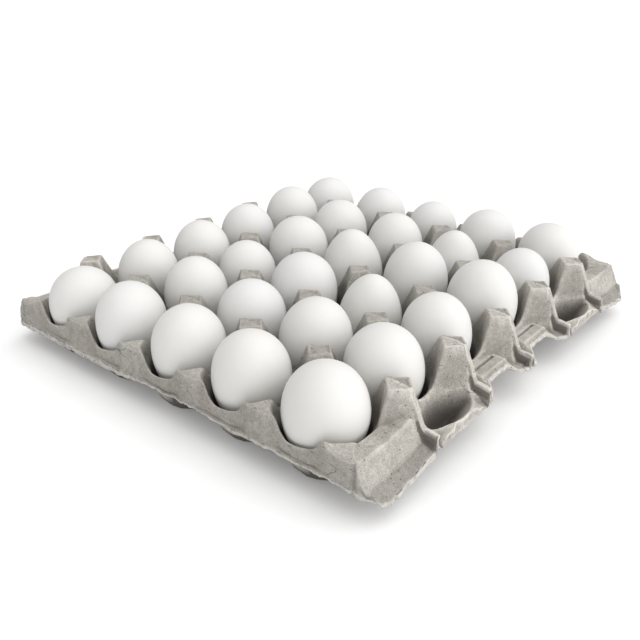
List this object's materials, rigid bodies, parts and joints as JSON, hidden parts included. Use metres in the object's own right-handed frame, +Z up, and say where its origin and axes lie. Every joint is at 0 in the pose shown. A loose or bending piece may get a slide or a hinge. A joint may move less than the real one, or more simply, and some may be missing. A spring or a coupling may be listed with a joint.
{
  "type": "egg carton with eggs",
  "caption": "Square moulded-pulp egg tray with posts between its cups, a white egg in every cup, and half cups and finger notches along two sides.",
  "frame": {"origin": "on the table under the middle of the tray", "axes": "+Z up; X runs across the five columns of eggs towards the side with corner panels and finger notches, Y along the six rows"},
  "size_m": [0.2856, 0.2856, 0.0604],
  "materials": {
    "pulp": "rough moulded grey paper pulp with fibres and specks",
    "eggshell": "white eggshell, matte with fine pores"
  },
  "bodies": {
    "root": {"tray": "pulp", "egg_1_1": "eggshell", "egg_1_2": "eggshell", "egg_1_3": "eggshell", "egg_1_4": "eggshell", "egg_1_5": "eggshell", "egg_2_1": "eggshell", "egg_2_2": "eggshell", "egg_2_3": "eggshell", "egg_2_4": "eggshell", "egg_2_5": "eggshell", "egg_3_1": "eggshell", "egg_3_2": "eggshell", "egg_3_3": "eggshell", "egg_3_4": "eggshell", "egg_3_5": "eggshell", "egg_4_1": "eggshell", "egg_4_2": "eggshell", "egg_4_3": "eggshell", "egg_4_4": "eggshell", "egg_4_5": "eggshell", "egg_5_1": "eggshell", "egg_5_2": "eggshell", "egg_5_3": "eggshell", "egg_5_4": "eggshell", "egg_5_5": "eggshell", "egg_6_1": "eggshell", "egg_6_2": "eggshell", "egg_6_3": "eggshell", "egg_6_4": "eggshell", "egg_6_5": "eggshell"}
  },
  "joints": []
}
